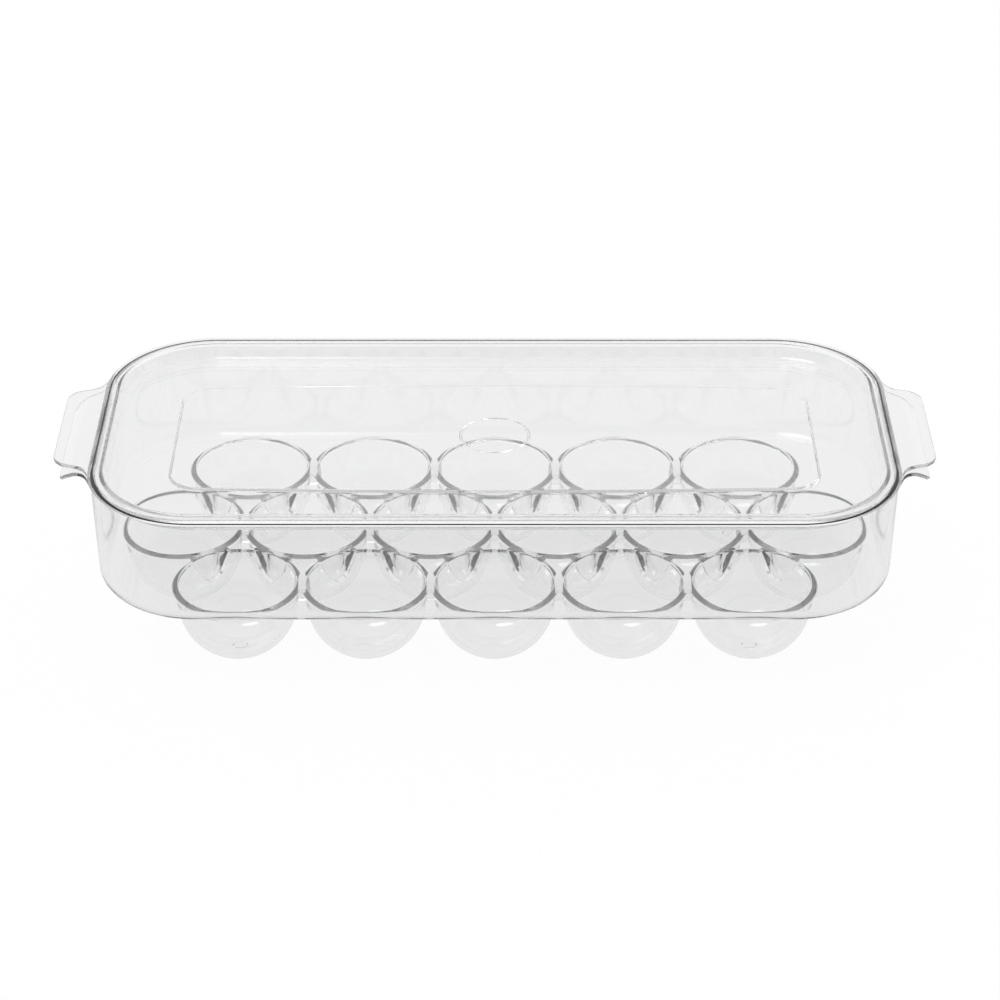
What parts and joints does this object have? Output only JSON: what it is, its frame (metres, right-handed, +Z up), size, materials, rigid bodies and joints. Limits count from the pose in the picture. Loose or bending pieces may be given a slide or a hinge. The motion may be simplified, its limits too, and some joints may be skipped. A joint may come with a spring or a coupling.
{
  "type": "egg keeper",
  "caption": "Long clear plastic egg keeper: a tray of staggered round cups under a deep rim, closed by a recessed lid that lifts off by end grips.",
  "frame": {"origin": "on the surface that the keeper stands on, under the middle of the tray", "axes": "+X along the length, +Y from the front long side to the back one, +Z up"},
  "size_m": [0.3342, 0.1442, 0.0764],
  "materials": {
    "tray_clear": "clear polished styrene",
    "lid_clear": "clear polished styrene"
  },
  "bodies": {
    "tray": {"tray_wall": "tray_clear", "tray_deck": "tray_clear", "tray_grip_left": "tray_clear", "tray_grip_right": "tray_clear", "egg_cup_01": "tray_clear", "egg_cup_02": "tray_clear", "egg_cup_03": "tray_clear", "egg_cup_04": "tray_clear", "egg_cup_05": "tray_clear", "egg_cup_06": "tray_clear", "egg_cup_07": "tray_clear", "egg_cup_08": "tray_clear", "egg_cup_09": "tray_clear", "egg_cup_10": "tray_clear", "egg_cup_11": "tray_clear", "egg_cup_12": "tray_clear", "egg_cup_13": "tray_clear", "egg_cup_14": "tray_clear", "egg_cup_15": "tray_clear", "egg_cup_16": "tray_clear"},
    "lid": {"lid_panel": "lid_clear", "lid_plateau": "lid_clear", "lid_rim": "lid_clear", "lid_grip_left": "lid_clear", "lid_grip_right": "lid_clear"}
  },
  "joints": [
    {"name": "lid_lift", "type": "slide", "parent": "tray", "child": "lid", "axis": [0, 0, 1], "range_m": [0, 0.12]}
  ]
}
